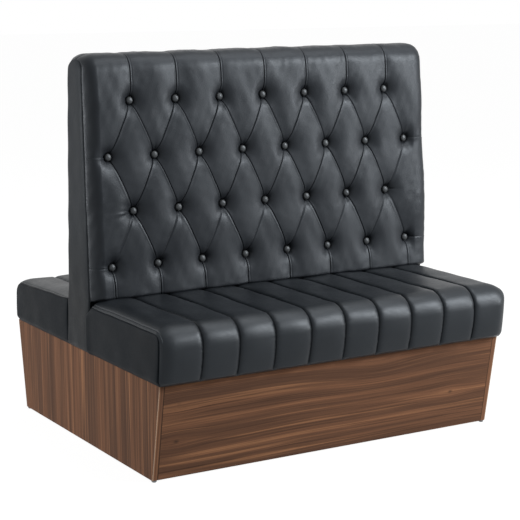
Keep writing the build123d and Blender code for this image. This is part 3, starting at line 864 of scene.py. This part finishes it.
def outward_of(loop, inside):
    """Normals of a closed loop that point away from a place inside it."""
    run = np.roll(loop, -1, axis=0) - np.roll(loop, 1, axis=0)
    outward = np.column_stack([run[:, 1], -run[:, 0]])
    outward /= np.linalg.norm(outward, axis=1, keepdims=True)
    return outward * np.sign(((loop - inside) * outward).sum())


def walk_of(points):
    """The way walked along a line of points, at each of them."""
    return np.concatenate([[0], np.cumsum(np.linalg.norm(np.diff(points, axis=0), axis=1))])


def seat_places():
    """Places along a cushion, finer at its seams."""
    shares = graded(18, 1.5)[:-1]
    places = np.concatenate([-half_length + channel * (number + shares) for number in range(1, channels - 1)])
    fine = np.array([0, 5, 12, 22, 34, 46, 57, 66, 73, 78, 83, 90, 101]) * 0.0001
    wide = fine[-1] + (channel - fine[-1]) * (1 - (1 - np.linspace(0, 1, 20)[1:]) ** 1.5)
    first = -half_length + np.concatenate([fine, wide])
    return np.concatenate([first[:-1], places, -first[::-1]])


seat_xs = seat_places()
from_end = half_length - np.abs(seat_xs)


def channel_relief(swell=0.0068, crown=0.0022, groove=0.0034, end_groove=0.0026):
    """Along a cushion: its swell, its grooves, its end seams, and how far the seams are."""
    share = np.clip((seat_xs + half_length) / channel, 0, channels - 1e-9)
    from_mid = np.abs(2 * (share - np.floor(share)) - 1)
    outer = from_end < channel / 2
    from_seam = np.where(outer, channel / 2, (1 - from_mid) * channel / 2)
    swollen = swell * np.where(outer, 1, 1 - np.exp(-from_seam / 0.0046)) + crown * (1 - from_mid**2)
    end_lines = end_groove * ridge(from_end - double_seam, 0.0010)
    return swollen, groove * ridge(from_seam, 0.0015, 1.4), end_lines, from_seam


def cushion_places(outline, end_outline, back, sag):
    """The places of a cushion's cover: the middle section, blended into the end's."""
    top = outline[:, 1].max()
    outward = outward_of(outline, section_middle)
    free = smooth(outline[:, 1], seat_low + 0.001, seat_low + 0.014)
    free *= 1 - smooth(outline[:, 0], -(back + 0.02), -back)
    fronted = np.clip(np.arctan2(-outward[:, 0], outward[:, 1]) / (math.pi / 2), 0, 1)[:, None]
    near_end = np.clip(1 - from_end / (0.046 - 0.014 * fronted), 0, 1)
    to_end = (1 - np.sqrt(1 - (near_end * math.sin(end_turn)) ** 2)) / (1 - math.cos(end_turn))
    topped = 1 - 0.85 * fronted
    grid_x, grid_s = np.meshgrid(seat_xs, walk_of(outline))
    swollen, grooves, end_lines, from_seam = channel_relief()
    out = swollen * (1 - to_end) - grooves - end_lines * topped
    ticks = 1 + np.sin((grid_s + from_end * 0.8) * 2 * math.pi / stitch)
    ticks = ticks + 0.4 * waves(grid_s, grid_x, 0.018, 34)
    out = out + 0.0004 * ridge(from_end - double_seam / 2, double_seam * 0.42, 4) * ticks * topped
    out = out + 0.0005 * ridge(from_seam, 0.010) * waves(grid_s, grid_x * 0.2, 0.020, 31)
    out = (out + 0.0010 * waves(grid_x, grid_s, 0.19, 32)) * free[:, None]
    upper = smooth(outline[:, 1], seat_low + 0.05, top - 0.01)[:, None]
    middle_z = outline[:, 1, None] - sag * smooth(np.abs(grid_x), 0.18, 0.46) * upper
    y = outline[:, 0, None] * (1 - to_end) + end_outline[:, 0, None] * to_end + outward[:, 0, None] * out
    z = middle_z * (1 - to_end) + end_outline[:, 1, None] * to_end + outward[:, 1, None] * out
    foot_room = 0.001
    above_foot = smooth(outline[:, 1], seat_low, seat_low + 0.018)[:, None]
    end_room = foot_room + (cushion_reach - half_length - foot_room) * above_foot
    x = grid_x + np.sign(grid_x) * end_room * smooth(np.abs(grid_x), half_length - 0.05, half_length)
    return x, y, z


def make_cushion_cover(side_name, sign, x, y, z):
    """The channelled cover, a tube whose last row joins its first."""
    points = np.stack([x, y, z], -1).reshape(-1, 3)
    rows, columns = x.shape
    faces = grid_faces(rows + 1, columns) % (rows * columns)
    if normals_of(points, faces)[np.argmax(points[:, 2])][2] < 0:
        faces = faces[:, ::-1]
    name = side_name + "_channel_cushion"
    replaced = (side_name + "_seat_channel_cover", side_name + "_seat_foam")
    make_piece(name, points, faces, side_name + "_seat", "seat_vinyl", replaced, sign)


# Shares of the way from the cover's edge to the boxing's middle, closer at the edge
boxing_steps = [0, 0.004, 0.009, 0.015, 0.022, 0.030, 0.042, 0.058, 0.08, 0.11]
boxing_steps += [0.15, 0.2, 0.27, 0.36, 0.48, 0.62, 0.78, 0.92, 0.98]


def boxing_rings(edge, edge_x, walked, top, back, slumped):
    """The rings of a boxing, from the cover's edge inwards, and how far out they lie."""
    seam_free = smooth(edge[:, 1], seat_low + 0.01, seat_low + 0.05)
    low, high = edge.min(axis=0), edge.max(axis=0)
    at_back = smooth(edge[:, 0], -(back + 0.03), -back)
    rings, ring_xs = [], []
    for step in boxing_steps:
        ring = edge + (section_middle - edge) * step
        room = 1 - (2 * (ring - low) / (high - low) - 1) ** 2
        belly = 0.0080 * np.clip(room[:, 0] * room[:, 1], 0, 1) ** 0.25 * (1 - math.exp(-step / 0.012))
        line_dip = 0.0032 * ridge(step, 0.007) * seam_free
        ticks = np.sin(walked * 2 * math.pi / stitch + step * 60) * ridge(step - 0.03, 0.02)
        uneven = 0.0005 * waves(ring[:, 0], ring[:, 1], 0.13, 35) * min(1, step / 0.03)
        rearward = at_back * smooth(-ring[:, 1], -top + 0.022, -top + 0.055)
        slump = slumped * rearward * ridge(step, 0.06) * smooth(step, -0.004, 0.012)
        ring[:, 0] += slump
        foot_in = 0.007 * (1 - smooth(ring[:, 1], seat_low, seat_low + 0.018))
        base_x = cushion_reach - foot_in + (edge_x - cushion_reach + foot_in) * math.exp(-step / 0.01)
        rings.append(ring)
        ring_xs.append(base_x + belly - line_dip + 0.0005 * ticks * seam_free + uneven + 0.45 * slump)
    return np.array(rings), np.array(ring_xs)


def make_boxings(side_name, sign, x, y, z, top, back, slumped, count=520):
    """A cushion's two flat ends, each made of rings from the cover's edge inwards."""
    loop = np.column_stack([y[:, 0], z[:, 0], np.abs(x[:, 0])])
    closed = np.vstack([loop, loop[:1]])
    walk = walk_of(closed[:, :2])
    walked = np.linspace(0, walk[-1], count, endpoint=False)
    edge = np.column_stack([np.interp(walked, walk, closed[:, k]) for k in range(3)])
    rings, ring_xs = boxing_rings(edge[:, :2], edge[:, 2], walked, top, back, slumped)
    quads = grid_faces(len(rings), count, 0, True)
    middle_face = list(range((len(rings) - 1) * count, len(rings) * count))
    checked = count * 14
    for end_name, end_sign in (("left", -1), ("right", 1)):
        points = np.stack([end_sign * ring_xs, rings[:, :, 0], rings[:, :, 1]], -1).reshape(-1, 3)
        way = -1 if normals_of(points, quads)[checked][0] * end_sign < 0 else 1
        faces = [face[::way] for face in quads.tolist() + [middle_face]]
        name, body = side_name + "_" + end_name + "_end_boxing", side_name + "_seat"
        replaced = (side_name + "_seat_" + end_name + "_boxing",)
        make_piece(name, points, faces, body, "seat_vinyl", replaced, sign, boxing_vinyl)


def make_cushion(side_name, sign, outline, end_outline, back, sag=0.0, slumped=0.0):
    """One cushion: its top sags towards the ends, and its boxing slumps out at the back."""
    x, y, z = cushion_places(outline, end_outline, back, sag)
    make_cushion_cover(side_name, sign, x, y, z)
    make_boxings(side_name, sign, x, y, z, outline[:, 1].max(), back, slumped)


front_back, rear_back = 0.0662, 0.0825
front_middle = seat_outline(front_back, 0.5375, 0.4575, 0.057, 0.016, 0.022, dip=0.003)
front_end = seat_outline(front_back, 0.5245, 0.4425, 0.024, 0.008, 0.032)
rear_middle = seat_outline(rear_back, 0.520, 0.4565, 0.058, 0.012, 0.020, fall=0.008, dip=0.003)
rear_end = seat_outline(rear_back, 0.4965, 0.4405, 0.050, 0.0, 0.010, fall=0.0155)
make_cushion("front", 1, front_middle, front_end, front_back, slumped=0.013)
make_cushion("rear", -1, rear_middle, rear_end, rear_back, sag=0.024)


# Studio: pale floor, white backdrop, soft lamps and the photo's camera


def seen_share(tree):
    """1 for rays from the camera, a reflection or a clear piece, 0 for light."""
    paths = tree.nodes.new("ShaderNodeLightPath")
    share = paths.outputs["Is Camera Ray"]
    for kind in ("Is Glossy Ray", "Is Transmission Ray"):
        brighter = tree.nodes.new("ShaderNodeMath")
        brighter.operation = "MAXIMUM"
        tree.links.new(share, brighter.inputs[0])
        tree.links.new(paths.outputs[kind], brighter.inputs[1])
        share = brighter.outputs[0]
    return share


def make_floor(half=30, paint_tone=0.12, glow_level=0.95):
    """A floor that is white to the eye and still takes the object's shadow."""
    mesh = bpy.data.meshes.new("studio_floor")
    corners = [(-half, -half, 0), (half, -half, 0), (half, half, 0), (-half, half, 0)]
    mesh.from_pydata(corners, [], [(0, 1, 2, 3)])
    floor = bpy.data.objects.new("studio_floor", mesh)
    bpy.context.collection.objects.link(floor)
    paint = Nodes("studio_paint", 0.0, Roughness=0.9)
    paint.shader.inputs["Base Color"].default_value = (paint_tone, paint_tone, paint_tone, 1)
    glow = paint.add("Emission", {"Color": (1, 1, 1, 1), "Strength": glow_level})
    nothing = paint.add("Emission", {"Color": (0, 0, 0, 1), "Strength": 0.0})
    extra = paint.add("MixShader", {0: seen_share(paint.tree), 1: nothing, 2: glow})
    whole = paint.add("AddShader", {0: paint.shader.outputs[0], 1: extra})
    paint.put(whole, paint.tree.nodes["Material Output"].inputs["Surface"])
    mesh.materials.append(paint.material)


def make_backdrop(light_level=0.3, seen_level=1.0):
    """A world that is white to the eye and lights the object less."""
    world = bpy.data.worlds.new("studio")
    bpy.context.scene.world = world
    world.use_nodes = True
    tree = world.node_tree
    background = tree.nodes["Background"]
    level = tree.nodes.new("ShaderNodeMapRange")
    level.inputs["To Min"].default_value = light_level
    level.inputs["To Max"].default_value = seen_level
    tree.links.new(seen_share(tree), level.inputs["Value"])
    tree.links.new(level.outputs["Result"], background.inputs["Strength"])
    background.inputs["Color"].default_value = (1, 1, 1, 1)


def add_lamp(name, place, target, width, height, power):
    """A rectangular lamp at a place, turned towards its target."""
    lamp = bpy.data.lights.new(name, "AREA")
    lamp.shape = "RECTANGLE"
    lamp.size, lamp.size_y, lamp.energy = width, height, power
    holder = bpy.data.objects.new(name, lamp)
    bpy.context.collection.objects.link(holder)
    holder.location = place
    run = np.array(target) - np.array(place)
    flat = math.hypot(run[0], run[1])
    holder.rotation_euler = (math.atan2(flat, -run[2]), 0, math.atan2(run[1], run[0]) - math.pi / 2)


def add_camera(focal_pixels=1565.85, picture_pixels=520, sensor=36):
    """The photo's camera."""
    camera = bpy.data.cameras.new("photo_camera")
    camera.sensor_width = sensor
    camera.lens = focal_pixels / picture_pixels * sensor
    holder = bpy.data.objects.new("photo_camera", camera)
    bpy.context.collection.objects.link(holder)
    holder.location = (-2.53099, -4.25463, 1.42610)
    holder.rotation_euler = (math.pi / 2 - 0.182, 0, -0.5418)
    bpy.context.scene.camera = holder


make_floor()
make_backdrop()
add_lamp("key", (2.6, -3.1, 2.7), (0.2, -0.2, 0.8), 1.1, 1.1, 215)
add_lamp("panel", (3.5, -3.1, 1.2), (0.4, -0.1, 1.0), 0.8, 1.0, 95)
add_lamp("top", (0.9, -0.9, 3.4), (0.1, -0.3, 0.5), 1.8, 1.8, 50)
add_lamp("side", (-3.8, 1.7, 1.0), (-0.6, -0.1, 0.3), 1.6, 1.6, 105)
add_camera()
bpy.context.scene.view_settings.view_transform = "Standard"
